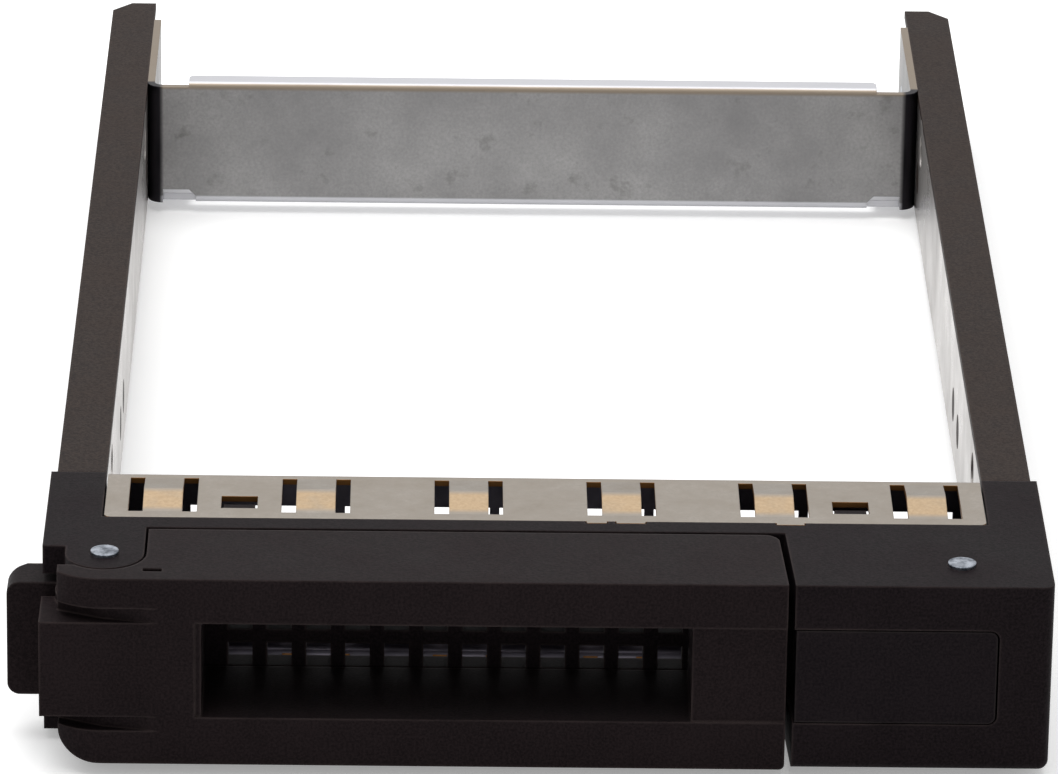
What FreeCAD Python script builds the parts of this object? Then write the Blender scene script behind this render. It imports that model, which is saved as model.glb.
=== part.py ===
"""Hot swap drive caddy: a moulded bezel with a swinging cam lever, two side rails and a sheet-metal cradle.

Frame: X to the right seen from the front, Y from the bezel face to the back, Z up.
The origin is on the bezel's underside, at the middle of its front edge. Lengths are in millimetres.
"""
import FreeCAD, Part
import Sketcher
import os
import re

doc = FreeCAD.newDocument("drive_caddy")

# ---------------------------------------------------------------- driving dimensions
SIZES = [
    # the bay, and the rails and the bezel round it
    ("bay_width", 70.4, "clear width between the side plates, for a 69.85 wide drive"),
    ("rail_wall", 3.95, "thickness of each rail beside the bay"),
    ("bezel_step", 0.5, "bezel wider than the rails, at each side"),
    ("face_height", 15.74, "height of the bezel"),
    ("arm_short", 0.2, "bezel's side arms end this far before the shield's rear face"),
    ("overall_depth", 138.7, "bezel face to the tips of the rails"),
    ("rail_rise", 4.5, "underside of the rails above the underside of the bezel"),
    ("seat_gap", 0.1, "gap between pieces that are pushed together"),
    ("overrun", 1.0, "how far a cut runs past the surface"),
    ("lap", 0.2, "how far joined volumes run into each other"),
    ("corner_round", 0.8, "outer edges of the mouldings"),
    ("edge_round", 0.45, "lower corners beside the gap at the lever's free end"),
    # the lever and its hinge
    ("lever_depth", 10.2, "front to back thickness of the lever"),
    ("lever_gap", 0.4, "lever to the vent wall behind it"),
    ("lever_step", 1.35, "flank of the lever, in from the bezel's side"),
    ("lever_heel", 1.3, "round of the free end's rear corner"),
    ("end_gap", 0.55, "gap between the lever's free end and the latch block"),
    ("end_slant", 0.45, "slant of that gap, front to back"),
    ("pivot_inset", 4.95, "lever pivot, in from the bezel's side"),
    ("pivot_back", 5.2, "lever pivot behind the face, and round of the lever's end about it"),
    ("ear_thick", 2.4, "thickness of each hinge ear"),
    ("ear_radius", 3.1, "round end of the hinge ears"),
    ("ear_gap", 0.2, "play between the ears and the lever"),
    ("ring_end", 2.8, "end of the lever's round flank, behind the face"),
    ("post_front", 6.6, "front of the corner post behind the flank"),
    ("hinge_play", 1.25, "room between the ears, right of their edge"),
    ("swing_play", 1.3, "room behind the swinging cam tooth"),
    ("barrel_radius", 3.9, "hinge barrel of the lever"),
    ("ridge_low", 4.0, "lower edge of the raised band"),
    ("ridge_high", 12.0, "upper edge of the raised band"),
    ("ridge_proud", 0.05, "left end of the raised band, out from the bezel's side"),
    ("scoop_run", 4.3, "scoops above and below the band, right of the pivot"),
    ("scoop_depth", 0.9, "depth of the scoops at the pivot"),
    ("scoop_end", 2.5, "depth of the scoops at the lever's flank"),
    ("scoop_high", 1.2, "height of the scoops"),
    ("window_offset", 7.7, "left edge of the lever window, right of the pivot"),
    ("window_stile", 7.41, "right edge of the lever window, left of the free end"),
    ("panel_margin", 0.5, "sunk panel round the window, at its left"),
    ("panel_sunk", 0.2, "depth of the sunk panel"),
    ("mark_width", 1.5, "width of the moulding mark beside the hinge"),
    ("mark_depth", 0.6, "front to back size and depth of the moulding mark"),
    ("mark_back", 1.6, "moulding mark behind the face"),
    ("tooth_proud", 2.85, "tip of the cam tooth, out from the bezel's side"),
    ("tooth_front", 6.3, "front flank of the cam tooth"),
    ("tooth_back", 10.2, "rear flank of the cam tooth"),
    ("tooth_chamfer", 1.5, "bevel of the cam tooth's tip"),
    ("tooth_low", 3.1, "underside of the cam tooth"),
    ("tooth_high", 12.7, "top of the cam tooth"),
    # the vent wall behind the lever
    ("vent_wall", 2.08, "thickness of the vent wall"),
    ("vent_size", 1.95, "side of each square vent in the wall"),
    ("vent_spacing", 3.11, "spacing of the vents and of the air holes behind them"),
    ("vent_low", 4.9, "height of the lowest vent row"),
    ("vent_columns", 15, "vent columns"),
    ("vent_rows", 3, "vent rows"),
    # the release button and the latch
    ("block_width", 20.25, "width of the latch block at the face"),
    ("button_margin", 4.35, "right edge of the button, in from the bezel's side"),
    ("button_gap", 0.15, "gap round the button"),
    ("button_thick", 2.0, "thickness of the button plate"),
    ("button_corner", 0.6, "rounds of the button's right corners"),
    ("latch_inset", 7.05, "button pin, in from the bezel's side"),
    ("latch_back", 4.4, "button pin behind the face"),
    ("hub_radius", 1.9, "hub of the button round its pin"),
    ("bolt_front", 6.5, "front side of the latch bolt"),
    ("bolt_back", 10.2, "rear side of the latch bolt"),
    ("bolt_clear", 5.1, "right end of the latch bolt, left of the button pin"),
    ("bolt_step", 1.0, "step between the bolt's ramp and its right end"),
    ("nose_gap", 0.15, "bolt's nose to the end of the lever"),
    ("nose_thick", 1.8, "thickness of the bolt's nose"),
    ("wedge_offset", 2.2, "left side of the button's wedge, right of the block's edge"),
    ("wedge_width", 2.6, "width of the wedge"),
    ("wedge_flat", 1.2, "flat of the wedge's tip"),
    ("wedge_tip", 4.8, "tip of the wedge behind the face"),
    ("wedge_low", 6.5, "underside of the wedge"),
    ("wedge_high", 3.0, "height of the wedge"),
    ("wedge_play", 0.2, "play between the wedge and the bolt's ramp"),
    ("ramp_rise", 2.9, "how far the bolt's ramp stands forward"),
    ("keeper_depth", 1.7, "depth of the lever's pocket for the nose"),
    ("keeper_edge", 1.0, "lever's edges above and below that pocket"),
    ("spring_radius", 1.45, "mean radius of the latch spring"),
    ("spring_wire", 0.4, "wire of the latch spring"),
    ("spring_turns", 4, "turns of the latch spring"),
    # the pins
    ("pin_radius", 1.1, "radius of both hinge pins"),
    ("pin_play", 0.05, "radial clearance of a turning piece on its pin"),
    ("pin_proud", 0.25, "pin heads above the bezel"),
    # the contact shield
    ("shield_thick", 0.5, "sheet of the contact shield"),
    ("shield_depth", 9.52, "vent wall to the rear face of the shield"),
    ("shield_bend", 0.8, "outer bend radius of the shield"),
    ("shield_end", 0.15, "gap between the shield's ends and the side arms"),
    ("shield_corner", 0.5, "rounds of the flanges' front corners"),
    ("pair_spacing", 12.19, "spacing of the contact fingers"),
    ("pair_count", 6, "contact fingers on each flange"),
    ("slot_width", 1.17, "slot at each side of a finger"),
    ("finger_width", 3.13, "width of the fingers"),
    ("slot_front", 1.2, "slot's front end behind the flange edge"),
    ("slot_length", 7.0, "length of the slots"),
    ("bump_rise", 0.5, "height of the fingers' contact ridge"),
    ("bump_crest", 4.9, "contact ridge behind the flange edge"),
    ("catch_width", 2.9, "width of the two catch windows"),
    ("catch_length", 2.5, "front to back size of the catch windows"),
    ("catch_front", 2.0, "catch windows behind the flange edge"),
    ("catch_play", 0.2, "play of the bezel's catches in their windows"),
    ("catch_thick", 1.0, "thickness of the catches' tongues"),
    ("tab_reach", 0.35, "small front tabs of the upper flange"),
    ("tab_narrow", 1.6, "width of the first tab"),
    ("tab_wide", 2.3, "width of the second tab"),
    ("tab_side", 2.2, "width of the third tab"),
    ("air_size", 2.34, "side of the square air holes in the shield's wall"),
    ("air_low", 2.57, "height of the lowest row of air holes"),
    ("air_rows", 4, "rows of air holes"),
    ("air_columns", 21, "columns of air holes"),
    ("air_margin", 4.8, "first column of air holes, in from the bay's side"),
    # the side plates
    ("plate_thick", 0.6, "sheet of the side plates"),
    ("plate_lip", 0.8, "rail lip above the side plates"),
    ("plate_short", 4.05, "plates end this far before the rail tips"),
    ("drive_hole_back", 10.1, "front drive screw behind the shield"),
    ("drive_hole_gap", 76.6, "distance between the drive screws"),
    ("drive_hole_z", 12.3, "height of the drive screws"),
    ("drive_hole_r", 1.6, "radius of the drive screw holes"),
    ("drive_access_r", 3.0, "screw head holes in the rails"),
    ("stud_radius", 1.45, "radius of the studs that hold the plates"),
    ("stud_play", 0.02, "radial clearance of the studs and the rivets"),
    ("stud_back", 28.3, "front stud behind the shield"),
    ("stud_gap", 6.2, "spacing of a pair of studs"),
    ("stud_z", 8.5, "height of the studs"),
    ("stud_span", 62.0, "front pair of studs to the rear pair"),
    # the crossbar
    ("bar_inset", 23.86, "front face of the crossbar, before the rail tips"),
    ("bar_thick", 0.65, "sheet of the crossbar"),
    ("bar_bend", 1.4, "outer bend radius of the crossbar"),
    ("bar_fold", 0.6, "outer bend radius of its flanges"),
    ("bar_arm", 18.8, "length of the crossbar's arms"),
    ("bar_flange", 2.1, "depth of its flanges"),
    ("bar_rise", 0.4, "top flange above the bezel"),
    ("bar_relief", 1.3, "height of the relief cuts at the web's lower corners"),
    ("bar_slant", 0.6, "slant of the relief cuts' inner ends"),
    ("bar_notch", 3.8, "ends of the flanges from the side plates"),
    ("rivet_radius", 1.3, "radius of the crossbar rivets"),
    ("rivet_head", 2.1, "radius of the rivet heads"),
    ("rivet_sunk", 1.2, "depth of the head pockets in the rails"),
    ("rivet_z", 10.1, "height of the crossbar rivets"),
    ("rivet_back", 6.5, "first rivet behind the crossbar's face"),
    ("rivet_gap", 8.0, "spacing of the rivets"),
    # the rail tips
    ("tip_width", 2.0, "bevel of the rail tips, across"),
    ("tip_length", 2.4, "bevel of the rail tips, along"),
    ("tip_round", 0.4, "soft upper end of the rail tips"),
]

sheet = doc.addObject("Spreadsheet::Sheet", "Sizes")
for row, (alias, number, note) in enumerate(SIZES, start=1):
    sheet.set(f"A{row}", alias)
    sheet.set(f"B{row}", str(number))
    sheet.set(f"C{row}", note)
    sheet.setAlias(f"B{row}", alias)
doc.recompute()

# Sizes that follow from the driving ones.
DERIVED = {
    "half_bay": "bay_width / 2",
    "half_rail": "half_bay + rail_wall",
    "half_face": "half_rail + bezel_step",
    "pivot_across": "half_face - pivot_inset",
    "lever_side": "half_face - lever_step",
    "ridge_side": "half_face + ridge_proud",
    "tooth_reach": "half_face + tooth_proud",
    "wall_front": "lever_depth + lever_gap",
    "wall_back": "wall_front + vent_wall",
    "shield_back": "wall_back + shield_depth",
    "bezel_depth": "shield_back - arm_short",
    "block_edge": "half_face - block_width",
    "block_heel": "block_edge - end_slant",
    "lever_end": "block_edge - end_gap",
    "lever_heel_end": "lever_end - end_slant",
    "ear_high": "face_height - ear_thick",
    "ear_side": "pivot_across - ear_radius",
    "swing_radius": "tooth_reach - pivot_across + swing_play",
    "window_left": "pivot_across - window_offset",
    "window_right": "lever_end - window_stile",
    "band": "ridge_high - ridge_low",
    "button_right": "half_face - button_margin",
    "latch_across": "half_face - latch_inset",
    "pocket_right": "button_right + button_gap",
    "pocket_back": "bolt_back + seat_gap",
    "hub_low": "ridge_low + seat_gap",
    "hub_high": "ridge_high - seat_gap",
    "wedge_left": "block_edge + wedge_offset",
    "wedge_right": "wedge_left + wedge_width",
    "wedge_slope": "wedge_left + wedge_flat",
    "bolt_right": "latch_across - bolt_clear",
    "nose_tip": "lever_end - end_slant / 2 + nose_gap",
    "nose_back": "bolt_front + nose_thick",
    "ramp_foot": "wedge_slope + wedge_tip + wedge_play - bolt_front",
    "shield_half": "half_bay - shield_end",
    "shield_under": "face_height - shield_thick",
    "finger_front": "wall_back + slot_front",
    "finger_back": "finger_front + slot_length",
    "catch_across": "pair_spacing * 2",
    "air_first": "half_bay - air_margin",
    "vent_first": "air_first - vent_spacing * 2",
    "plate_high": "face_height - plate_lip",
    "plate_outer": "half_bay + plate_thick",
    "plate_back": "overall_depth - plate_short",
    "arm_inner": "half_bay - bar_thick",
    "channel_half": "half_bay - bar_notch",
    "bar_front": "overall_depth - bar_inset",
    "bar_back": "bar_front + bar_thick",
    "bar_top": "face_height + bar_rise",
    "flange_back": "bar_front + bar_flange",
    "arm_back": "bar_front + bar_arm",
}
ALIASES = {alias for alias, number, note in SIZES}


def expression(text):
    """The text as an expression on the sheet, with the derived sizes written out."""
    def full(match):
        word = match.group(0)
        if word in DERIVED:
            return "(" + expression(DERIVED[word]) + ")"
        return "Sizes." + word if word in ALIASES else word
    return re.sub(r"[a-z_]+", full, text)


def value(text):
    """The present number of an expression."""
    return float(sheet.evalExpression(expression(text)))


# ---------------------------------------------------------------- modelling steps
def new_body(node):
    body = doc.addObject("PartDesign::Body", node)
    body.Label = node
    return body


def attach(body, item, plane, level):
    """Put a sketch on one of the body's origin planes, moved to a level along the plane's axis."""
    role = plane + "_Plane"
    support = [feature for feature in body.Origin.OriginFeatures if feature.Role == role][0]
    item.AttachmentSupport = [(support, "")]
    item.MapMode = "FlatFace"
    sign = "-" if plane == "XZ" else ""
    item.setExpression("AttachmentOffset.Base.z", f"{sign}({expression(level)})")


def bind(sketch, kind, first, point, text):
    """Hold one coordinate of a point to an expression."""
    number = sketch.addConstraint(Sketcher.Constraint(kind, -1, 1, first, point, value(text)))
    sketch.setExpression(f"Constraints[{number}]", expression(text))


def outline(sketch, corners):
    """A closed outline through corners, each a pair of expressions."""
    start = sketch.GeometryCount
    points = [FreeCAD.Vector(value(across), value(up), 0) for across, up in corners]
    count = len(points)
    for index in range(count):
        sketch.addGeometry(Part.LineSegment(points[index], points[(index + 1) % count]), False)
    for index in range(count):
        following = start + (index + 1) % count
        sketch.addConstraint(Sketcher.Constraint("Coincident", start + index, 2, following, 1))
    for index, (across, up) in enumerate(corners):
        bind(sketch, "DistanceX", start + index, 1, across)
        bind(sketch, "DistanceY", start + index, 1, up)


def circle(sketch, across, up, radius):
    centre = FreeCAD.Vector(value(across), value(up), 0)
    index = sketch.addGeometry(Part.Circle(centre, FreeCAD.Vector(0, 0, 1), value(radius)), False)
    bind(sketch, "DistanceX", index, 3, across)
    bind(sketch, "DistanceY", index, 3, up)
    number = sketch.addConstraint(Sketcher.Constraint("Radius", index, value(radius)))
    sketch.setExpression(f"Constraints[{number}]", expression(radius))


def new_sketch(body, plane, level, outlines=(), circles=()):
    sketch = body.newObject("Sketcher::SketchObject", "Profile")
    attach(body, sketch, plane, level)
    for corners in outlines:
        outline(sketch, corners)
    for across, up, radius in circles:
        circle(sketch, across, up, radius)
    return sketch


def add(body, plane, level, depth, outlines=(), circles=()):
    """Add material: outlines and circles on a plane, from a level along +X, +Y or +Z."""
    pad = body.newObject("PartDesign::Pad", "Add")
    pad.Profile = new_sketch(body, plane, level, outlines, circles)
    pad.setExpression("Length", expression(depth))
    pad.Reversed = plane == "XZ"
    return pad


def cut(body, plane, level, depth, outlines=(), circles=()):
    """Take material away: outlines and circles on a plane, from a level along +X, +Y or +Z."""
    pocket = body.newObject("PartDesign::Pocket", "Cut")
    pocket.Profile = new_sketch(body, plane, level, outlines, circles)
    pocket.setExpression("Length", expression(depth))
    pocket.Reversed = plane != "XZ"
    return pocket


def through(body, outlines=(), circles=()):
    """Cut outlines and circles of the plan through the whole height."""
    return cut(body, "XY", "-overrun", "face_height + 2 * overrun", outlines, circles)


def box(left, right, low, high):
    return [(left, low), (right, low), (right, high), (left, high)]


def edges_at(shape, axis, places):
    """Names of the straight edges along an axis whose other coordinates are at the given places."""
    names = []
    spots = [{name: value(text) for name, text in place.items()} for place in places]
    for number, edge in enumerate(shape.Edges, start=1):
        if len(edge.Vertexes) < 2 or not isinstance(edge.Curve, (Part.Line, Part.LineSegment)):
            continue
        step = edge.Vertexes[-1].Point - edge.Vertexes[0].Point
        if abs(getattr(step, axis)) < 0.999 * step.Length:
            continue
        middle = (edge.Vertexes[-1].Point + edge.Vertexes[0].Point) * 0.5
        if any(all(abs(getattr(middle, key) - spot[key]) < 0.02 for key in spot) for spot in spots):
            names.append(f"Edge{number}")
    return names


def soften(body, radius, axis, *places, kind="Fillet"):
    """Round (or chamfer) the edges along an axis that stand at the given places."""
    doc.recompute()
    last = body.Tip
    names = edges_at(body.Shape, axis, places)
    feature = body.newObject("PartDesign::" + kind, kind)
    feature.Base = (last, names)
    feature.setExpression("Radius" if kind == "Fillet" else "Size", expression(radius))
    return feature


def repeat(body, feature, axis, pitch, count):
    """Repeat a feature in a row, along its sketch's horizontal (H), vertical (V) or normal (N) axis."""
    pattern = body.newObject("PartDesign::LinearPattern", "Row")
    pattern.Originals = [feature]
    pattern.Direction = (feature.Profile[0], [axis + "_Axis"])
    pattern.Mode = "Spacing"
    pattern.setExpression("Offset", expression(pitch))
    pattern.setExpression("Occurrences", expression(count))
    body.Tip = pattern
    return pattern


def side(sign, near, far):
    """Level and depth of a stretch between two distances from the middle, right (+) or left (-)."""
    level = near if sign == "+" else f"-({far})"
    return level, f"({far}) - ({near})"


def across(sign, distance):
    return distance if sign == "+" else f"-({distance})"


# ---------------------------------------------------------------- the bezel
def hole_column(first, size, low, rows):
    """Outlines of one column of square holes in an upright wall."""
    column = []
    for row in range(int(value(rows))):
        bottom = f"{low} + {row} * vent_spacing - {size} / 2"
        column.append(box(f"-{first} - {size} / 2", f"-{first} + {size} / 2", bottom, f"{bottom} + {size}"))
    return column


def front_tabs(play):
    """Plan outlines of the small tabs at the front edge of the shield's upper flange."""
    front = f"wall_back - tab_reach - {play}"
    middles = {
        "tab_narrow": "pair_spacing / 3",
        "tab_wide": "pair_spacing / 9 * 5",
        "tab_side": "pair_spacing / 2 * 3 + slot_width",
    }
    tabs = []
    for width, middle in middles.items():
        reach = f"({width} / 2 + {play})"
        tabs.append(box(f"{middle} - {reach}", f"{middle} + {reach}", front, "wall_back + lap"))
    return tabs


def front_housing():
    """Latch block, vent wall and side arms in one moulding, with two ears for the lever."""
    body = new_body("front_housing")
    plan = [
        ("block_edge", "0"), ("half_face", "0"), ("half_face", "bezel_depth"),
        ("half_bay", "bezel_depth"), ("half_bay", "wall_back"),
        ("-half_bay", "wall_back"), ("-half_bay", "bezel_depth"),
        ("-half_face", "bezel_depth"), ("-half_face", "post_front"),
        ("-pivot_across - ear_radius", "post_front"), ("-pivot_across - ear_radius", "pivot_back"),
        ("-ear_side", "pivot_back"), ("-ear_side", "wall_front"), ("block_heel", "wall_front"),
    ]
    add(body, "XY", "0", "face_height", [plan])
    soften(body, "corner_round", "z", {"x": "half_face", "y": "0"})
    soften(body, "corner_round", "y", {"x": "half_face", "z": "0"})
    add(body, "XY", "0", "face_height", circles=[("-pivot_across", "pivot_back", "ear_radius")])
    # the hinge bay between the ears, open to the side so that the cam tooth can swing in
    bay = box("-half_face - overrun", "-ear_side + hinge_play", "-overrun", "pivot_back + swing_radius")
    cut(body, "XY", "ear_thick", "ear_high - ear_thick", [bay])
    through(body, circles=[("-pivot_across", "pivot_back", "pin_radius")])
    # the pocket of the button and the latch, open to the front and towards the lever
    pocket = box("block_heel - overrun", "pocket_right", "-overrun", "pocket_back")
    cut(body, "XY", "ridge_low", "band", [pocket])
    soften(body, "button_corner + button_gap", "y",
           {"x": "pocket_right", "z": "ridge_low"}, {"x": "pocket_right", "z": "ridge_high"})
    through(body, circles=[("latch_across", "latch_back", "pin_radius")])
    # square vents through the wall behind the lever
    vents = cut(body, "XZ", "pocket_back", "wall_back + overrun - pocket_back",
                hole_column("vent_first", "vent_size", "vent_low", "vent_rows"))
    repeat(body, vents, "H", "vent_spacing", "vent_columns")
    # room for the shield's front tabs
    cut(body, "XY", "shield_under - seat_gap", "shield_thick + seat_gap + overrun", front_tabs("seat_gap"))
    # sprung tongues with catches that hook into the windows of the shield's flanges
    hook_front = "wall_back + catch_front + catch_play"
    hook_back = "wall_back + catch_front + catch_length - catch_play"
    tongue_top = "shield_under - catch_play"
    profile = [
        ("wall_back - lap", tongue_top), (hook_front, tongue_top),
        (hook_front, "face_height - catch_play"), (f"{hook_front} + catch_thick", "face_height - catch_play"),
        (hook_back, tongue_top), (hook_back, f"{tongue_top} - catch_thick"),
        ("wall_back - lap", f"{tongue_top} - catch_thick"),
    ]
    for outline_points in (profile, [(along, f"face_height - ({up})") for along, up in profile]):
        for sign in "+-":
            start = f"{across(sign, 'catch_across')} - catch_width / 2 + catch_play"
            add(body, "YZ", start, "catch_width - 2 * catch_play", [outline_points])
    return body


def contact_shield():
    """Folded channel behind the bezel: two flanges with contact fingers and a wall with air holes."""
    body = new_body("contact_shield")
    channel = [
        ("wall_back", "0"), ("shield_back", "0"), ("shield_back", "face_height"),
        ("wall_back", "face_height"), ("wall_back", "shield_under"),
        ("shield_back - shield_thick", "shield_under"),
        ("shield_back - shield_thick", "shield_thick"), ("wall_back", "shield_thick"),
    ]
    add(body, "YZ", "-shield_half", "shield_half * 2", [channel])
    inner = "shield_back - shield_thick"
    soften(body, "shield_bend", "x", {"y": "shield_back", "z": "0"}, {"y": "shield_back", "z": "face_height"})
    soften(body, "shield_bend - shield_thick", "x",
           {"y": inner, "z": "shield_thick"}, {"y": inner, "z": "shield_under"})
    soften(body, "shield_corner", "z",
           {"x": "-shield_half", "y": "wall_back"}, {"x": "shield_half", "y": "wall_back"})
    add(body, "XY", "shield_under", "shield_thick", front_tabs("0"))
    # a gap for each finger, then the fingers themselves with their ridges
    first = "-pair_spacing * (pair_count - 1) / 2"
    gap = "(finger_width / 2 + slot_width)"
    slots = through(body, [box(f"{first} - {gap}", f"{first} + {gap}", "finger_front", "finger_back")])
    repeat(body, slots, "H", "pair_spacing", "pair_count")
    fingers = []
    for base, crest in (("shield_under", "bump_rise"), ("0", "-bump_rise")):
        top = [("finger_front", base), ("wall_back + bump_crest", f"{base} + {crest}"), ("finger_back", base)]
        fingers.append(top + [(along, f"{height} + shield_thick") for along, height in reversed(top)])
    bridge = add(body, "YZ", f"{first} - finger_width / 2", "finger_width", fingers)
    repeat(body, bridge, "N", "pair_spacing", "pair_count")
    windows = []
    for sign in "+-":
        middle = across(sign, "catch_across")
        windows.append(box(f"{middle} - catch_width / 2", f"{middle} + catch_width / 2",
                           "wall_back + catch_front", "wall_back + catch_front + catch_length"))
    through(body, windows)
    # square air holes through the wall
    holes = cut(body, "XZ", f"{inner} - overrun", "shield_thick + 2 * overrun",
                hole_column("air_first", "air_size", "air_low", "air_rows"))
    repeat(body, holes, "H", "vent_spacing", "air_columns")
    return body


# ---------------------------------------------------------------- the lever
def latch_lever():
    """Front lever: hinge barrel and cam tooth at the left, a long window, a latch pocket at the free end."""
    body = new_body("latch_lever")
    plan = [
        ("-pivot_across", "0"), ("lever_end", "0"), ("lever_heel_end", "lever_depth"),
        ("-ear_side + ear_gap", "lever_depth"), ("-ear_side + ear_gap", "pivot_back"),
        ("-pivot_across", "pivot_back"),
    ]
    add(body, "XY", "0", "face_height", [plan])
    soften(body, "edge_round", "y", {"x": "lever_end - end_slant / 2", "z": "0"})
    soften(body, "lever_heel", "z", {"x": "lever_heel_end", "y": "lever_depth"})
    # the hinge end is round about the pivot, with a straight flank
    add(body, "XY", "0", "face_height", circles=[("-pivot_across", "pivot_back", "pivot_back")])
    flank = [
        box("-pivot_across - 2 * pivot_back", "-lever_side", "-overrun", "2 * pivot_back + overrun"),
        box("-lever_side - lap", "-pivot_across", "ring_end", "2 * pivot_back + overrun"),
        box("-pivot_across - lap", "-ear_side + ear_gap", "pivot_back", "2 * pivot_back + overrun"),
    ]
    for outline_points in flank:
        through(body, [outline_points])
    # room for the ears above and below the barrel
    low = "ear_thick + ear_gap"
    high = "ear_high - ear_gap"
    for level, depth in (("-overrun", f"{low} + overrun"), (high, "ear_thick + ear_gap + overrun")):
        cut(body, "XY", level, depth, circles=[("-pivot_across", "pivot_back", "ear_radius + ear_gap")])
    add(body, "XY", low, f"{high} - ({low})", circles=[("-pivot_across", "pivot_back", "barrel_radius")])
    # the raised band runs out squarely past the rounded end, with a scoop above and below it
    ridge = box("-ridge_side", "-pivot_across + barrel_radius", "0", "pivot_back")
    add(body, "XY", "ridge_low", "band", [ridge])
    scoop = [
        ("-pivot_across + scoop_run", "-overrun"), ("-pivot_across + scoop_run", "0"),
        ("-pivot_across", "scoop_depth"), ("-lever_side", "scoop_end"),
        ("-ridge_side - overrun", "scoop_end"), ("-ridge_side - overrun", "-overrun"),
    ]
    for level in ("ridge_high", "ridge_low - scoop_high"):
        cut(body, "XY", level, "scoop_high", [scoop])
    tooth = [
        ("-tooth_reach", "tooth_front"), ("-pivot_across", "tooth_front"),
        ("-pivot_across", "pivot_back + barrel_radius - lap"), ("-ridge_side", "tooth_back"),
        ("-tooth_reach + tooth_chamfer", "tooth_back"), ("-tooth_reach", "tooth_back - tooth_chamfer"),
    ]
    add(body, "XY", "tooth_low", "tooth_high - tooth_low", [tooth])
    # the window, in a slightly sunk panel that runs out at the free end
    window = box("-window_left", "window_right", "ridge_low", "ridge_high")
    cut(body, "XZ", "-overrun", "lever_depth + 2 * overrun", [window])
    panel = box("-window_left - panel_margin", "lever_end + overrun", "ridge_low", "ridge_high")
    cut(body, "XZ", "-overrun", "overrun + panel_sunk", [panel])
    keeper = box("lever_end - keeper_depth", "lever_end + overrun",
                 "bolt_front - nose_gap", "nose_back + nose_gap")
    cut(body, "XY", "ridge_low + keeper_edge", "band - 2 * keeper_edge", [keeper])
    mark = box("-ear_side", "-ear_side + mark_width", "mark_back", "mark_back + mark_depth")
    cut(body, "XY", "face_height - mark_depth", "mark_depth + overrun", [mark])
    bore = [("-pivot_across", "pivot_back", "pin_radius + pin_play")]
    through(body, circles=bore)
    return body


def pin(node, centre_x, centre_y):
    """Straight hinge pin, flush below and a little proud on top."""
    rod = doc.addObject("Part::Cylinder", node)
    rod.Label = node
    rod.setExpression("Radius", expression("pin_radius"))
    rod.setExpression("Height", expression("face_height + pin_proud"))
    rod.setExpression("Placement.Base.x", expression(centre_x))
    rod.setExpression("Placement.Base.y", expression(centre_y))
    return rod


# ---------------------------------------------------------------- button and latch
def release_button():
    """Rocking button: a plate with a hub on its pin and a wedge that drives the bolt."""
    body = new_body("release_button")
    plate = box("block_edge + button_gap", "button_right", "hub_low", "hub_high")
    add(body, "XZ", "0", "button_thick", [plate])
    soften(body, "button_corner", "y",
           {"x": "button_right", "z": "hub_low"}, {"x": "button_right", "z": "hub_high"})
    add(body, "XY", "hub_low", "hub_high - hub_low", circles=[("latch_across", "latch_back", "hub_radius")])
    neck = box("latch_across - hub_radius", "latch_across + hub_radius", "button_thick - lap", "latch_back")
    add(body, "XY", "hub_low", "hub_high - hub_low", [neck])
    wedge = [
        ("wedge_left", "button_thick - lap"), ("wedge_right", "button_thick - lap"),
        ("wedge_right", "wedge_tip - wedge_right + wedge_slope"), ("wedge_slope", "wedge_tip"),
        ("wedge_left", "wedge_tip"),
    ]
    add(body, "XY", "wedge_low", "wedge_high", [wedge])
    bore = [("latch_across", "latch_back", "pin_radius + pin_play")]
    through(body, circles=bore)
    return body


def latch_bolt():
    """Sliding bolt: a bevelled nose towards the lever and a ramp in front that the wedge pushes on."""
    body = new_body("latch_bolt")
    plan = [
        ("nose_tip + nose_thick / 2", "bolt_front"),
        ("ramp_foot", "bolt_front"), ("ramp_foot + ramp_rise", "bolt_front - ramp_rise"),
        ("bolt_right - bolt_step", "bolt_front - ramp_rise"), ("bolt_right - bolt_step", "bolt_front"),
        ("bolt_right", "bolt_front"), ("bolt_right", "bolt_back"),
        ("block_edge + nose_thick", "bolt_back"), ("block_edge + nose_thick", "nose_back"),
        ("nose_tip", "nose_back"), ("nose_tip", "bolt_front + nose_thick / 2"),
    ]
    add(body, "XY", "hub_low", "hub_high - hub_low", [plan])
    return body


def latch_spring():
    """Compression spring between the bolt and the end of its pocket."""
    turns = doc.addObject("Part::Helix", "SpringLine")
    length = "pocket_right - bolt_right - spring_wire"
    turns.setExpression("Pitch", expression(f"({length}) / spring_turns"))
    turns.setExpression("Height", expression(length))
    turns.setExpression("Radius", expression("spring_radius"))
    wire = doc.addObject("Part::RegularPolygon", "SpringWire")
    wire.Polygon = 6
    wire.setExpression("Circumradius", expression("spring_wire / 2"))
    wire.setExpression("Placement.Base.x", expression("spring_radius"))
    wire.Placement.Rotation = FreeCAD.Rotation(FreeCAD.Vector(1, 0, 0), 90)
    spring = doc.addObject("Part::Sweep", "latch_spring")
    spring.Label = "latch_spring"
    spring.Sections = [wire]
    spring.Spine = (turns, ["Edge1"])
    spring.Solid = True
    spring.Frenet = True
    spring.Placement.Rotation = FreeCAD.Rotation(FreeCAD.Vector(0, 1, 0), 90)
    spring.setExpression("Placement.Base.x", expression("bolt_right + spring_wire / 2"))
    spring.setExpression("Placement.Base.y", expression("(bolt_front + bolt_back) / 2"))
    spring.setExpression("Placement.Base.z", expression("(ridge_low + ridge_high) / 2"))
    return spring


# ---------------------------------------------------------------- rails and cradle
def studs(radius):
    """The four studs of a rail, on its inner side."""
    return [(f"shield_back + stud_back + {pair} * stud_span + {place} * stud_gap", "stud_z", radius)
            for pair in (0, 1) for place in (0, 1)]


def drive_screws(radius):
    return [(f"shield_back + drive_hole_back + {place} * drive_hole_gap", "drive_hole_z", radius)
            for place in (0, 1)]


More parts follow.
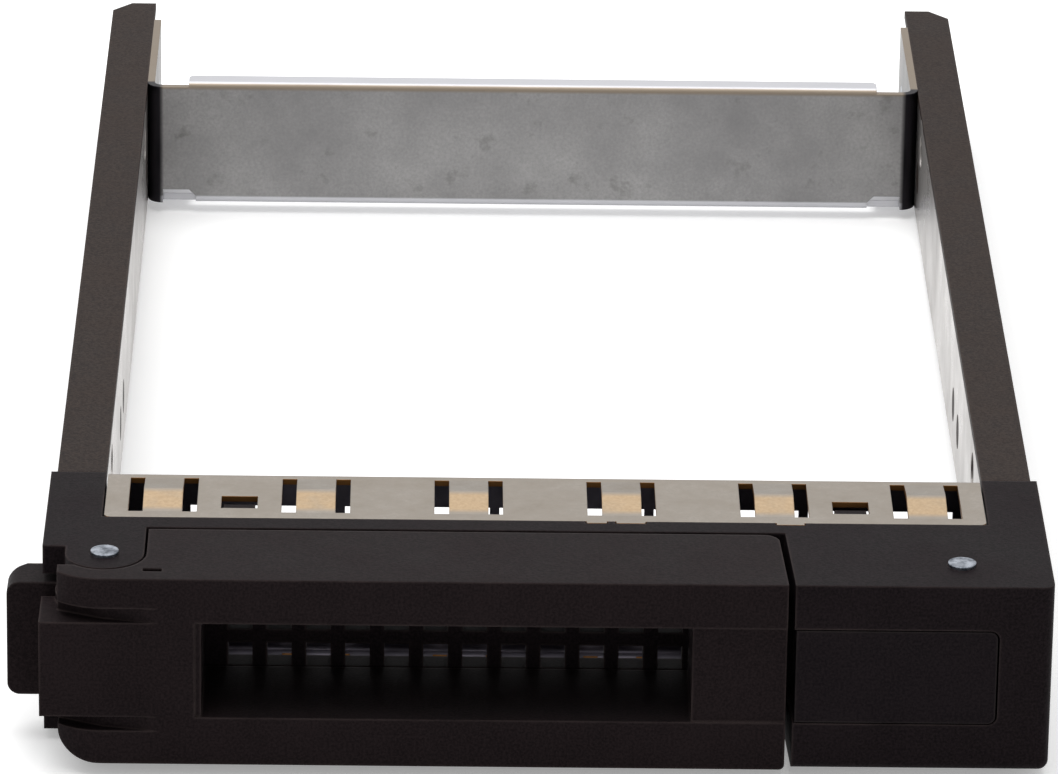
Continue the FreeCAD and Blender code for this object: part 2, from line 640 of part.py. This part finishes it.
def rivets(radius):
    return [(f"bar_front + rivet_back + {place} * rivet_gap", "rivet_z", radius) for place in (0, 1)]


def rail(node, sign):
    """Side rail: a bar with a lip over the side plate, studs through the plate and a bevelled tip."""
    body = new_body(node)
    profile = [
        (across(sign, "plate_outer"), "rail_rise"), (across(sign, "half_rail"), "rail_rise"),
        (across(sign, "half_rail"), "face_height"), (across(sign, "half_bay"), "face_height"),
        (across(sign, "half_bay"), "plate_high"), (across(sign, "plate_outer"), "plate_high"),
    ]
    add(body, "XZ", "bezel_depth", "overall_depth - bezel_depth", [profile])
    soften(body, "tip_round", "x", {"y": "overall_depth", "z": "face_height"})
    level, depth = side(sign, "half_bay", "plate_outer + lap")
    add(body, "YZ", level, depth, circles=studs("stud_radius"))
    level, depth = side(sign, "half_bay - overrun", "half_rail + overrun")
    cut(body, "YZ", level, depth, circles=drive_screws("drive_access_r"))
    cut(body, "YZ", level, depth, circles=rivets("rivet_radius + stud_play"))
    level, depth = side(sign, "half_rail - rivet_sunk", "half_rail + overrun")
    cut(body, "YZ", level, depth, circles=rivets("rivet_head + seat_gap"))
    tip = [
        (across(sign, "half_rail - tip_width"), "overall_depth"),
        (across(sign, "half_rail"), "overall_depth - tip_length"),
        (across(sign, "half_rail + overrun"), "overall_depth - tip_length"),
        (across(sign, "half_rail + overrun"), "overall_depth + overrun"),
        (across(sign, "half_rail - tip_width"), "overall_depth + overrun"),
    ]
    cut(body, "XY", "rail_rise - overrun", "face_height + overrun", [tip])
    return body


def side_plate(node, sign):
    """Flat steel side of the cradle, with holes for the studs, the drive screws and the rivets."""
    body = new_body(node)
    level, depth = side(sign, "half_bay", "plate_outer")
    add(body, "YZ", level, depth, [box("shield_back", "plate_back", "rail_rise", "plate_high")])
    level, depth = side(sign, "half_bay - overrun", "plate_outer + overrun")
    holes = studs("stud_radius + stud_play") + rivets("rivet_radius + stud_play")
    cut(body, "YZ", level, depth, circles=holes + drive_screws("drive_hole_r"))
    return body


def rear_crossbar():
    """Folded brace across the back of the bay: a web with two flanges, and arms along the side plates."""
    body = new_body("rear_crossbar")
    channel = [
        ("bar_front", "rail_rise"), ("flange_back", "rail_rise"),
        ("flange_back", "rail_rise + bar_thick"), ("bar_back", "rail_rise + bar_thick"),
        ("bar_back", "bar_top - bar_thick"), ("flange_back", "bar_top - bar_thick"),
        ("flange_back", "bar_top"), ("bar_front", "bar_top"),
    ]
    add(body, "YZ", "-channel_half", "channel_half * 2", [channel])
    soften(body, "bar_fold", "x", {"y": "bar_front", "z": "bar_top"}, {"y": "bar_front", "z": "rail_rise"})
    soften(body, "bar_fold", "z", {"x": "-channel_half", "y": "flange_back", "z": "bar_top - bar_thick / 2"},
           {"x": "channel_half", "y": "flange_back", "z": "bar_top - bar_thick / 2"})
    for sign in "+-":
        # the web's end with its arm, then the foot under the arm
        arm = [
            (across(sign, "channel_half"), "bar_front"), (across(sign, "half_bay"), "bar_front"),
            (across(sign, "half_bay"), "arm_back"), (across(sign, "arm_inner"), "arm_back"),
            (across(sign, "arm_inner"), "bar_back"), (across(sign, "channel_half"), "bar_back"),
        ]
        add(body, "XY", "rail_rise", "face_height - rail_rise", [arm])
        soften(body, "bar_bend", "z", {"x": across(sign, "half_bay"), "y": "bar_front"})
        soften(body, "bar_bend - bar_thick", "z", {"x": across(sign, "arm_inner"), "y": "bar_back"})
        relief = [
            (across(sign, "channel_half - bar_slant"), "rail_rise - overrun"),
            (across(sign, "half_bay - bar_bend"), "rail_rise - overrun"),
            (across(sign, "half_bay - bar_bend"), "rail_rise + bar_relief"),
            (across(sign, "channel_half"), "rail_rise + bar_relief"),
            (across(sign, "channel_half - bar_slant"), "rail_rise + bar_relief - bar_slant"),
        ]
        cut(body, "XZ", "bar_front - overrun", "bar_thick + overrun + lap", [relief])
        level, depth = side(sign, "channel_half", "arm_inner")
        foot = box("bar_back + lap", "arm_back", "rail_rise", "rail_rise + bar_thick")
        add(body, "YZ", level, depth, [foot])
    holes = rivets("rivet_radius + stud_play")
    cut(body, "YZ", "-half_bay - overrun", "half_bay * 2 + 2 * overrun", circles=holes)
    return body


def crossbar_rivets():
    """Four rivets from the outside of the rails through the side plates and the crossbar's arms."""
    solids = []
    seat_depth = value("half_rail - arm_inner - rivet_sunk")
    head_thick = value("rivet_sunk / 2")
    for sign in (1, -1):
        outward = FreeCAD.Vector(sign, 0, 0)
        for along, up, radius in rivets("rivet_radius"):
            start = FreeCAD.Vector(sign * value("arm_inner"), value(along), value(up))
            shank = Part.makeCylinder(value(radius), seat_depth + head_thick, start, outward)
            head = Part.makeCylinder(value("rivet_head"), head_thick, start + outward * seat_depth, outward)
            solids.append(shank.fuse(head).removeSplitter())
    fasteners = doc.addObject("Part::Feature", "crossbar_rivets")
    fasteners.Label = "crossbar_rivets"
    fasteners.Shape = Part.makeCompound(solids)
    return fasteners


# ---------------------------------------------------------------- the assembly
pieces = [
    front_housing(), contact_shield(), latch_lever(), release_button(), latch_bolt(), latch_spring(),
    pin("lever_pin", "-pivot_across", "pivot_back"), pin("button_pin", "latch_across", "latch_back"),
    rail("left_rail", "-"), rail("right_rail", "+"),
    side_plate("left_side_plate", "-"), side_plate("right_side_plate", "+"),
    rear_crossbar(), crossbar_rivets(),
]
doc.recompute()

faulty = [item.Name for item in doc.Objects if "Invalid" in item.State or "Error" in item.State]
if faulty:
    raise RuntimeError("these objects did not build: " + ", ".join(faulty))

os.makedirs("parts", exist_ok=True)
for piece in pieces:
    shape = piece.Shape
    if shape.isNull() or not shape.isValid() or not shape.Solids:
        raise RuntimeError(piece.Label + " has no sound shape")
    shape.exportStep(f"parts/{piece.Label}.step")
    bounds = shape.BoundBox
    print(f"{piece.Label:20s} {len(shape.Solids)} solid(s)  {shape.Volume:9.1f} mm3  "
          f"X {bounds.XMin:7.2f} {bounds.XMax:7.2f}  Y {bounds.YMin:7.2f} {bounds.YMax:7.2f}  "
          f"Z {bounds.ZMin:6.2f} {bounds.ZMax:6.2f}")
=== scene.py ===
"""Hot swap drive caddy: moulded bezel with a cam lever, two plastic rails and a folded steel cradle.

Lengths are in metres, in the frame of the solids: X to the right, Y to the back, Z up.
"""
import math

import bpy
from mathutils import Matrix, Vector


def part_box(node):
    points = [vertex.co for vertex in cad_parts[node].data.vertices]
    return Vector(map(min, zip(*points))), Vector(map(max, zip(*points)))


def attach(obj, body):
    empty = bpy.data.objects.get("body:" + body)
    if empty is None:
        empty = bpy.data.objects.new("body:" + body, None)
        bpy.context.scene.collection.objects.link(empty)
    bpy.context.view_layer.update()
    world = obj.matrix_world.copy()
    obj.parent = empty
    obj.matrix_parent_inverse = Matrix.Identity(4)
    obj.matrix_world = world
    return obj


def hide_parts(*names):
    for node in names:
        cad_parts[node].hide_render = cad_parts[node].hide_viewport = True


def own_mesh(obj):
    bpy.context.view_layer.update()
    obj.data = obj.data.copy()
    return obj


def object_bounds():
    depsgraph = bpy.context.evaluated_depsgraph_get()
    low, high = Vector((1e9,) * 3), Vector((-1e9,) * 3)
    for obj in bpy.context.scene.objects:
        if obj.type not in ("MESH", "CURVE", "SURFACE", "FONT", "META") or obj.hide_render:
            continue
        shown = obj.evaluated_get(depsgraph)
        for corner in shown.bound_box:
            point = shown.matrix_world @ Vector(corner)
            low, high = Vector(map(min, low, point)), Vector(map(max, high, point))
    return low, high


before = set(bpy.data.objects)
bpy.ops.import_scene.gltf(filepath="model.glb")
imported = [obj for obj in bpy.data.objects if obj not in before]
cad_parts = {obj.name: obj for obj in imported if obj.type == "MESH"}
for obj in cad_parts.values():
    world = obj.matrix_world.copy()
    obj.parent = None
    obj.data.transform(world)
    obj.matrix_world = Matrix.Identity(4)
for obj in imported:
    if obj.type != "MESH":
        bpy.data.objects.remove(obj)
solid_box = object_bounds()
MM = 0.001

# ------------------------------------------------------------------ the camera
# A long lens a good half metre away, a little above the part and almost square to its front.
# It is rolled by less than a degree, and shifted a little to frame the part.
pitch, yaw, roll = math.radians(21.540), math.radians(-0.703), math.radians(0.832)
ahead = Matrix.Rotation(yaw, 3, "Z") @ Vector((0, math.cos(pitch), -math.sin(pitch)))
level_right = Matrix.Rotation(yaw, 3, "Z") @ Vector((1, 0, 0))
level_up = level_right.cross(ahead)
right = math.cos(roll) * level_right + math.sin(roll) * level_up
up = math.cos(roll) * level_up - math.sin(roll) * level_right
lens = bpy.data.cameras.new("camera")
lens.sensor_width = 36
lens.lens = 272.22
lens.shift_x = 0.01912
lens.shift_y = -0.01026
lens.clip_start = 0.05
camera = bpy.data.objects.new("camera", lens)
camera.matrix_world = Matrix((
    (right.x, up.x, -ahead.x, -10.292 * MM),
    (right.y, up.y, -ahead.y, -573.870 * MM),
    (right.z, up.z, -ahead.z, 259.587 * MM),
    (0, 0, 0, 1),
))
bpy.context.scene.collection.objects.link(camera)
bpy.context.scene.camera = camera
bpy.context.scene.view_settings.view_transform = "Standard"


# ------------------------------------------------------------------ the floor
# White paper. The part lies on the ridges of its lower contacts and on its rail tips, so the
# paper falls back from the one to the other. It glows a little for the camera and in metal.
def linear(code):
    """An sRGB hex colour as the linear RGBA that the shaders take."""
    parts = [int(code[place:place + 2], 16) / 255 for place in (1, 3, 5)]
    return [c / 12.92 if c <= 0.04045 else ((c + 0.055) / 1.055) ** 2.4 for c in parts] + [1]


def add_node(tree, kind, inputs=None, output=0, **settings):
    """Add a shader node with its settings and its inputs' values or links, and give one of its outputs."""
    item = tree.nodes.new("ShaderNode" + kind)
    for name, setting in settings.items():
        setattr(item, name, setting)
    for name, source in (inputs or {}).items():
        if isinstance(source, bpy.types.NodeSocket):
            tree.links.new(source, item.inputs[name])
        else:
            item.inputs[name].default_value = source
    return item.outputs[output] if len(item.outputs) else None


def seen_directly(tree):
    """One for rays from the camera, from a glossy surface or through a clear one."""
    seen = 0.0
    for kind in ("Is Camera Ray", "Is Glossy Ray", "Is Transmission Ray"):
        ray = add_node(tree, "LightPath", output=kind)
        seen = add_node(tree, "Math", {0: seen, 1: ray}, operation="MAXIMUM")
    return seen


ridge_line = 17.58 * MM  # how far back the ridges stand
rail_low, rail_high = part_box("left_rail")
fall = (rail_low.z - solid_box[0][2]) / (rail_high.y - ridge_line)
front, back, half = -6.0, 8.0, 7.0
corners = [(x, y, solid_box[0][2] + fall * (y - ridge_line)) for x, y in
           ((-half, front), (half, front), (half, back), (-half, back))]
floor_mesh = bpy.data.meshes.new("floor")
floor_mesh.from_pydata(corners, [], [(0, 1, 2, 3)])
floor = bpy.data.objects.new("floor", floor_mesh)
bpy.context.scene.collection.objects.link(floor)
paper = bpy.data.materials.new("paper")
paper.use_nodes = True
tree = paper.node_tree
tree.nodes.clear()
# paper fibre is finer than this, and is drawn at 0.6 mm so that it shows
fibre = add_node(tree, "TexNoise", {"Vector": add_node(tree, "TexCoord", output="Object"),
                                    "Scale": 1 / (0.6 * MM), "Detail": 3.0})
pulp = add_node(tree, "Bump", {"Height": fibre, "Strength": 0.1, "Distance": 0.05 * MM})
matt = add_node(tree, "BsdfDiffuse", {"Color": linear("#F4F4F4"), "Normal": pulp})
glow = add_node(tree, "Emission", {"Color": linear("#FFFFFF"), "Strength": 0.3})
lit = add_node(tree, "AddShader", {0: matt, 1: glow})
add_node(tree, "OutputMaterial", {
    "Surface": add_node(tree, "MixShader", {0: seen_directly(tree), 1: matt, 2: lit})})
floor_mesh.materials.append(paper)

# ------------------------------------------------------------------ the light
# A pale room all round, and two large soft panels: one high above, one behind and above.
world = bpy.data.worlds.new("room")
bpy.context.scene.world = world
world.use_nodes = True
tree = world.node_tree
tree.nodes.clear()
room = add_node(tree, "Background", {"Color": linear("#FFFFFF"), "Strength": 0.5})
direct = add_node(tree, "Background", {"Color": linear("#FFFFFF"), "Strength": 1.0})
add_node(tree, "OutputWorld", {
    "Surface": add_node(tree, "MixShader", {0: seen_directly(tree), 1: room, 2: direct})})
middle = Vector((0, 0.05, 0))
for name, place, size, power in (
    ("top_panel", (-0.25, 0.15, 1.5), (1.4, 1.4), 20.0),
    ("back_panel", (0.15, 1.4, 1.2), (2.0, 1.0), 2.0),
):
    lamp = bpy.data.lights.new(name, "AREA")
    lamp.shape = "RECTANGLE"
    lamp.size, lamp.size_y = size
    lamp.energy = power
    holder = bpy.data.objects.new(name, lamp)
    holder.location = place
    holder.rotation_euler = (middle - Vector(place)).to_track_quat("-Z", "Y").to_euler()
    bpy.context.scene.collection.objects.link(holder)


# ------------------------------------------------------------------ the bezel
# One moulding in black glass-filled ABS: the latch block, the vent wall, the side arms and the ears.
# The tool was spark-eroded, which leaves an even, fine-grained matt skin. Its edges are painted paler:
# partly rubbed wear, partly a painted highlight.
def new_material(name):
    """A material with an empty tree, and the object coordinates in it."""
    material = bpy.data.materials.new(name)
    material.use_nodes = True
    material.node_tree.nodes.clear()
    return material, material.node_tree, add_node(material.node_tree, "TexCoord", output="Object")


def moulded_plastic(name, body, dusty, painted_sheen, roughness):
    """Spark-eroded black plastic: fine grain, a faint mottle of dust, edges painted a little paler, partly
    rubbed wear and partly a painted highlight.
    """
    material, tree, place = new_material(name)
    # the eroded grain is about 0.1 mm on the part and is drawn at 0.22 mm so that it shows
    grain = add_node(tree, "TexNoise", {"Vector": place, "Scale": 1 / (0.22 * MM), "Detail": 3.0,
                                        "Roughness": 0.7})
    mottle = add_node(tree, "TexNoise", {"Vector": place, "Scale": 1 / (7 * MM), "Detail": 6.0,
                                         "Roughness": 0.65})
    # an edge is where a rounding of 0.3 mm would turn the face away from its own direction
    rounded = add_node(tree, "Bevel", {"Radius": 0.3 * MM}, samples=4)
    face = add_node(tree, "NewGeometry", output="True Normal")
    alike = add_node(tree, "VectorMath", {0: rounded, 1: face}, "Value", operation="DOT_PRODUCT")
    # the edges take the paler colour: partly rubbed wear, partly a painted highlight where they catch the
    # light
    edge = add_node(tree, "Math", {
        0: add_node(tree, "MapRange", {0: alike, 1: 0.985, 2: 0.80}),
        1: add_node(tree, "MapRange", {0: mottle, 1: 0.3, 2: 0.6, 3: 0.25, 4: 1.0})}, operation="MULTIPLY")
    speckle = add_node(tree, "Math", {
        0: add_node(tree, "MapRange", {0: grain, 1: 0.38, 2: 0.64, 3: 0.0, 4: 0.95}),
        1: add_node(tree, "MapRange", {0: mottle, 1: 0.35, 2: 0.68, 3: 0.0, 4: 0.4})}, operation="ADD")
    dulled = add_node(tree, "Mix", {"Factor": speckle, "A": linear(body), "B": linear(dusty)}, "Result",
                      data_type="RGBA")
    colour = add_node(tree, "Mix", {"Factor": edge, "A": dulled, "B": linear(painted_sheen)}, "Result",
                      data_type="RGBA")
    bump = add_node(tree, "Bump", {"Height": grain, "Strength": 0.45, "Distance": 0.04 * MM,
                                   "Normal": rounded})
    gloss = add_node(tree, "MapRange", {0: mottle, 1: 0.3, 2: 0.7, 3: roughness - 0.05, 4: roughness + 0.06})
    skin = add_node(tree, "BsdfPrincipled", {
        "Base Color": colour, "Roughness": gloss, "Specular IOR Level": 0.045,
        "Specular Tint": linear("#FFE6EA"), "Normal": bump})
    add_node(tree, "OutputMaterial", {"Surface": skin})
    return material


def finish_with(material, *names):
    """Give solids their finish."""
    for name in names:
        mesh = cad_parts[name].data
        mesh.materials.clear()
        mesh.materials.append(material)


finish_with(moulded_plastic("bezel_abs", "#070607", "#1C1719", "#453C3B", 0.52), "front_housing")


# ------------------------------------------------------------------ the lever
# The same ABS as the bezel, a little paler from handling. The solid has its form but for the
# well-rounded lower corner at the hinge and the soft corners of the cam tooth, which are cut here.
def arc(centre, reach, start, end, steps=14):
    """Points of a quarter of an ellipse in X and Z, from one angle to another, in degrees."""
    turns = [math.radians(start + (end - start) * step / steps) for step in range(steps + 1)]
    return [(centre[0] + reach[0] * math.cos(turn), centre[1] + reach[1] * math.sin(turn)) for turn in turns]


lever_low, lever_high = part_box("latch_lever")
flank = lever_low.x + 4.2 * MM  # where the tooth leaves the heel
tooth_low, tooth_high = 3.1 * MM, 12.7 * MM
tooth_corner = (1.0 * MM, 1.0 * MM)
heel = (3.1 * MM, 2.3 * MM)
beyond_x, beyond_z = lever_high.x + MM, lever_high.z + MM
outline = (
    arc((lever_low.x + tooth_corner[0], tooth_high - tooth_corner[1]), tooth_corner, 90, 180)
    + arc((lever_low.x + tooth_corner[0], tooth_low + tooth_corner[1]), tooth_corner, 180, 270)
    + [(flank, tooth_low)]
    + arc((flank + heel[0], heel[1]), heel, 180, 270)
    + [(beyond_x, 0.0), (beyond_x, beyond_z), (flank, beyond_z), (flank, tooth_high)]
)
count = len(outline)
form = bpy.data.meshes.new("rounding")
form.from_pydata([(x, y, z) for y in (lever_low.y - MM, lever_high.y + MM) for x, z in outline], [],
                 [list(range(count)), list(range(2 * count - 1, count - 1, -1))]
                 + [(place, place + count, (place + 1) % count + count, (place + 1) % count)
                    for place in range(count)])
former = bpy.data.objects.new("rounding", form)
lever = bpy.data.objects.new("lever_moulding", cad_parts["latch_lever"].data.copy())
for item in (former, lever):
    bpy.context.scene.collection.objects.link(item)
rounding = lever.modifiers.new("rounding", "BOOLEAN")
rounding.operation = "INTERSECT"
rounding.solver = "EXACT"
rounding.object = former
rounded = lever.evaluated_get(bpy.context.evaluated_depsgraph_get())
lever.data = bpy.data.meshes.new_from_object(rounded)
lever.modifiers.clear()
bpy.data.objects.remove(former)
lever.data.shade_flat()
lever.data.materials.clear()
lever.data.materials.append(moulded_plastic("lever_abs", "#0E0B0C", "#201A1B", "#453C3B", 0.52))
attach(lever, "lever")
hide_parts("latch_lever")

# ------------------------------------------------------------------ the release button and the bolt
# The button is a small ABS moulding, rubbed by fingers. The bolt behind it is slippery acetal.
finish_with(moulded_plastic("button_abs", "#08070A", "#1B1719", "#34302F", 0.48), "release_button")
finish_with(moulded_plastic("bolt_acetal", "#1C1A1C", "#2A2728", "#3C3838", 0.38), "latch_bolt")

# ------------------------------------------------------------------ the rails
# Long mouldings in the bezel's ABS. They slide in the chassis, so their skin is scuffed paler.
finish_with(moulded_plastic("rail_abs", "#1C1716", "#362E2A", "#4E4440", 0.50), "left_rail", "right_rail")


# ------------------------------------------------------------------ the contact shield
# Thin phosphor bronze with a dull nickel plate, folded to a channel. The fingers' front slopes are
# painted with a warm tan reflection in patches.
def metal_skin(material, tree, place, colour, cloud, smooth, rough, grain=(1, 1, 1), fine=0.25 * MM,
               depth=0.35):
    """Rolled or drawn metal: fine lines, duller where it is smudged, with eased edges."""
    # mill lines are a few hundredths of a millimetre apart, and are drawn coarser so that they show
    stretched = add_node(tree, "Mapping", {"Vector": place, "Scale": grain})
    lines = add_node(tree, "TexNoise", {"Vector": stretched, "Scale": 1 / fine, "Detail": 3.0,
                                        "Roughness": 0.6})
    rounded = add_node(tree, "Bevel", {"Radius": 0.12 * MM}, samples=4)
    bump = add_node(tree, "Bump", {"Height": lines, "Strength": depth, "Distance": 0.02 * MM,
                                   "Normal": rounded})
    gloss = add_node(tree, "MapRange", {0: cloud, 1: 0.3, 2: 0.7, 3: smooth, 4: rough})
    skin = add_node(tree, "BsdfPrincipled", {"Base Color": colour, "Metallic": 1.0, "Roughness": gloss,
                                             "Normal": bump})
    add_node(tree, "OutputMaterial", {"Surface": skin})


material, tree, place = new_material("nickel_plated_bronze")
shield_low, shield_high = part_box("contact_shield")
along, height = (add_node(tree, "SeparateXYZ", {0: place}, axis) for axis in "YZ")
face = add_node(tree, "NewGeometry", output="True Normal")
lean, lift = (add_node(tree, "SeparateXYZ", {0: face}, axis) for axis in "YZ")
cloud = add_node(tree, "TexNoise", {"Vector": place, "Scale": 1 / (3.5 * MM), "Detail": 6.0,
                                    "Roughness": 0.62})
# the plate's grain is finer than this, and is drawn at 0.3 mm so that it shows
speck = add_node(tree, "TexNoise", {"Vector": place, "Scale": 1 / (0.3 * MM), "Detail": 3.0,
                                    "Roughness": 0.62})
grained = add_node(tree, "MapRange", {0: speck, 1: 0.3, 2: 0.7})
# the strips' outer faces look up above the middle of the channel and down below it
upper = add_node(tree, "MapRange", {0: height, 1: 7.9 * MM, 2: 8.1 * MM, 3: -1.0, 4: 1.0})
away = add_node(tree, "Math", {0: upper, 1: lift}, operation="MULTIPLY")
outward = add_node(tree, "MapRange", {0: away, 1: 0.3, 2: 0.6})
dull = add_node(tree, "Mix", {"Factor": add_node(tree, "MapRange", {0: cloud, 1: 0.35, 2: 0.7}),
                              "A": linear("#989087"), "B": linear("#857D73")}, "Result", data_type="RGBA")
nickel = add_node(tree, "Mix", {"Factor": grained, "A": dull, "B": linear("#8C857C")}, "Result",
                  data_type="RGBA")
# the front slope of each finger, from 3.5 mm before its crest up to the crest, gets a painted tan reflection
# in patches
crest = shield_low.y + 5.25 * MM
slope = add_node(tree, "MapRange", {0: lean, 1: -0.04, 2: -0.09})
painted_sheen = add_node(tree, "Math", {
    0: add_node(tree, "MapRange", {0: along, 1: crest - 3.5 * MM, 2: crest - 2.9 * MM}),
    1: add_node(tree, "MapRange", {0: along, 1: crest - 0.1 * MM, 2: crest - 0.7 * MM})},
    operation="MULTIPLY")
patchy_sheen = add_node(tree, "Math", {
    0: painted_sheen, 1: add_node(tree, "MapRange", {0: cloud, 1: 0.25, 2: 0.5, 3: 0.6, 4: 1.0})},
    operation="MULTIPLY")
sheen_patch = add_node(tree, "Math", {0: slope, 1: patchy_sheen}, operation="MULTIPLY")
# painted reflection: the warm tan on the forward-facing slopes
tan_reflection = add_node(tree, "Mix", {"Factor": grained, "A": linear("#B09A7E"), "B": linear("#A08A6E")}, "Result",
                  data_type="RGBA")
outside = add_node(tree, "Mix", {"Factor": sheen_patch, "A": nickel, "B": tan_reflection}, "Result", data_type="RGBA")
# the inner side is a darker lilac grey
inside = add_node(tree, "Mix", {"Factor": add_node(tree, "MapRange", {0: cloud, 1: 0.35, 2: 0.65}),
                                "A": linear("#6E6A74"), "B": linear("#5C5860")}, "Result", data_type="RGBA")
sheet = add_node(tree, "Mix", {"Factor": outward, "A": inside, "B": outside}, "Result", data_type="RGBA")
# the cut edges are raw bronze: faces near the top or the bottom that look neither up nor down
edge_level = add_node(tree, "Math", {
    0: add_node(tree, "MapRange", {0: height, 1: shield_low.z + 1.05 * MM, 2: shield_low.z + 0.95 * MM}),
    1: add_node(tree, "MapRange", {0: height, 1: shield_high.z - 1.05 * MM, 2: shield_high.z - 0.95 * MM})},
    operation="MAXIMUM")
not_up = add_node(tree, "Math", {0: edge_level, 1: add_node(tree, "MapRange", {0: lift, 1: 0.35, 2: 0.15})},
                  operation="MULTIPLY")
sheared = add_node(tree, "Math", {0: not_up, 1: add_node(tree, "MapRange", {0: lift, 1: -0.35, 2: -0.15})},
                   operation="MULTIPLY")
colour = add_node(tree, "Mix", {"Factor": sheared, "A": sheet, "B": linear("#8A6238")}, "Result",
                  data_type="RGBA")
metal_skin(material, tree, place, colour, cloud, 0.36, 0.52, (1, 4, 4))
finish_with(material, "contact_shield")

# ------------------------------------------------------------------ the side plates
# Bright zinc-plated steel strip, rolled along its length.
# The plate is even and shiny, with wide faint clouds where it was handled.
material, tree, place = new_material("bright_zinc")
cloud = add_node(tree, "TexNoise", {"Vector": place, "Scale": 1 / (9 * MM), "Detail": 6.0,
                                    "Roughness": 0.62})
colour = add_node(tree, "Mix", {"Factor": add_node(tree, "MapRange", {0: cloud, 1: 0.35, 2: 0.68}),
                                "A": linear("#A8A4A1"), "B": linear("#918D8A")}, "Result", data_type="RGBA")
metal_skin(material, tree, place, colour, cloud, 0.24, 0.38, (6, 0.3, 6))
finish_with(material, "left_side_plate", "right_side_plate")

# ------------------------------------------------------------------ the crossbar
# The same strip, but its web is dull: grey passivation with darker smudges from handling.
# The folded flanges are painted bright, a painted highlight where they catch the light.
material, tree, place = new_material("passivated_zinc")
bar_low, bar_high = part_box("rear_crossbar")
across, along, height = (add_node(tree, "SeparateXYZ", {0: place}, axis) for axis in "XYZ")
cloud = add_node(tree, "TexNoise", {"Vector": place, "Scale": 1 / (13 * MM), "Detail": 6.0,
                                    "Roughness": 0.62})
stain = add_node(tree, "TexNoise", {"Vector": place, "Scale": 1 / (2.6 * MM), "Detail": 8.0,
                                    "Roughness": 0.62})
# the film's grain is finer than this, and is drawn at 0.28 mm so that it shows
speck = add_node(tree, "TexNoise", {"Vector": place, "Scale": 1 / (0.28 * MM), "Detail": 3.0,
                                    "Roughness": 0.62})
film = add_node(tree, "Mix", {"Factor": add_node(tree, "MapRange", {0: cloud, 1: 0.34, 2: 0.66}),
                              "A": linear("#959493"), "B": linear("#807F7F")}, "Result", data_type="RGBA")
grained = add_node(tree, "Mix", {
    "Factor": add_node(tree, "MapRange", {0: speck, 1: 0.3, 2: 0.7, 3: 0.0, 4: 0.5}),
    "A": film, "B": linear("#747374")}, "Result", data_type="RGBA")
smudged = add_node(tree, "Mix", {
    "Factor": add_node(tree, "MapRange", {0: stain, 1: 0.60, 2: 0.74, 3: 0.0, 4: 0.55}),
    "A": grained, "B": linear("#575653")}, "Result", data_type="RGBA")
# the plate is strained and browner along the upper bend
bend_level = add_node(tree, "MapRange", {0: height, 1: bar_high.z - 0.7 * MM, 2: bar_high.z - 0.45 * MM})
strained = add_node(tree, "Mix", {"Factor": bend_level, "A": smudged, "B": linear("#84796C")}, "Result",
                    data_type="RGBA")
# painted highlight: pale bands along the top and bottom flanges
folded = add_node(tree, "Math", {
    0: add_node(tree, "MapRange", {0: height, 1: bar_high.z - 0.15 * MM, 2: bar_high.z - 0.03 * MM}),
    1: add_node(tree, "MapRange", {0: height, 1: bar_low.z + 0.75 * MM, 2: bar_low.z + 0.6 * MM})},
    operation="MAXIMUM")
flange_highlight = add_node(tree, "Mix", {"Factor": folded, "A": strained, "B": linear("#BCBCC0")}, "Result",
                  data_type="RGBA")
# painted shade on the outside of the two upright bends, where they stand close to the side walls
out = add_node(tree, "Math", {0: across}, operation="ABSOLUTE")
bend_shade = add_node(tree, "Math", {
    0: add_node(tree, "MapRange", {0: out, 1: bar_high.x - 1.5 * MM, 2: bar_high.x - 1.1 * MM}),
    1: add_node(tree, "MapRange", {0: along, 1: bar_low.y + 1.7 * MM, 2: bar_low.y + 1.3 * MM})},
    operation="MULTIPLY")
colour = add_node(tree, "Mix", {"Factor": bend_shade, "A": flange_highlight, "B": linear("#2A282C")}, "Result",
                  data_type="RGBA")
metal_skin(material, tree, place, colour, cloud, 0.40, 0.55, (1.5, 6, 6))
finish_with(material, "rear_crossbar")

# ------------------------------------------------------------------ the pins and rivets
# Turned steel, thinly plated with zinc: bright, with small darker spots where the heads are worn.
# The pins are pressed into the bezel, and the rivets are headed over the crossbar's arms.
material, tree, place = new_material("turned_steel")
cloud = add_node(tree, "TexNoise", {"Vector": place, "Scale": 1 / (0.9 * MM), "Detail": 6.0,
                                    "Roughness": 0.62})
colour = add_node(tree, "Mix", {"Factor": add_node(tree, "MapRange", {0: cloud, 1: 0.4, 2: 0.62}),
                                "A": linear("#A4AAB4"), "B": linear("#50565F")}, "Result", data_type="RGBA")
metal_skin(material, tree, place, colour, cloud, 0.22, 0.42, fine=0.12 * MM, depth=0.6)
finish_with(material, "lever_pin", "button_pin", "crossbar_rivets")

# ------------------------------------------------------------------ the latch's spring
# A coil of drawn music wire behind the bolt. In the part it shortens by the bolt's travel when that is
# drawn back, against the pocket's far wall; here it moves with the carrier and keeps its modelled length.
material, tree, place = new_material("music_wire")
cloud = add_node(tree, "TexNoise", {"Vector": place, "Scale": 1 / (1.2 * MM), "Detail": 6.0,
                                    "Roughness": 0.62})
colour = add_node(tree, "Mix", {"Factor": add_node(tree, "MapRange", {0: cloud, 1: 0.35, 2: 0.7}),
                                "A": linear("#B4B4B2"), "B": linear("#8E8E8C")}, "Result", data_type="RGBA")
metal_skin(material, tree, place, colour, cloud, 0.25, 0.4, fine=0.1 * MM)
spring = bpy.data.objects.new("coil_spring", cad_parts["latch_spring"].data.copy())
bpy.context.scene.collection.objects.link(spring)
spring.data.materials.clear()
spring.data.materials.append(material)
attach(spring, "carrier")
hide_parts("latch_spring")
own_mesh(spring)
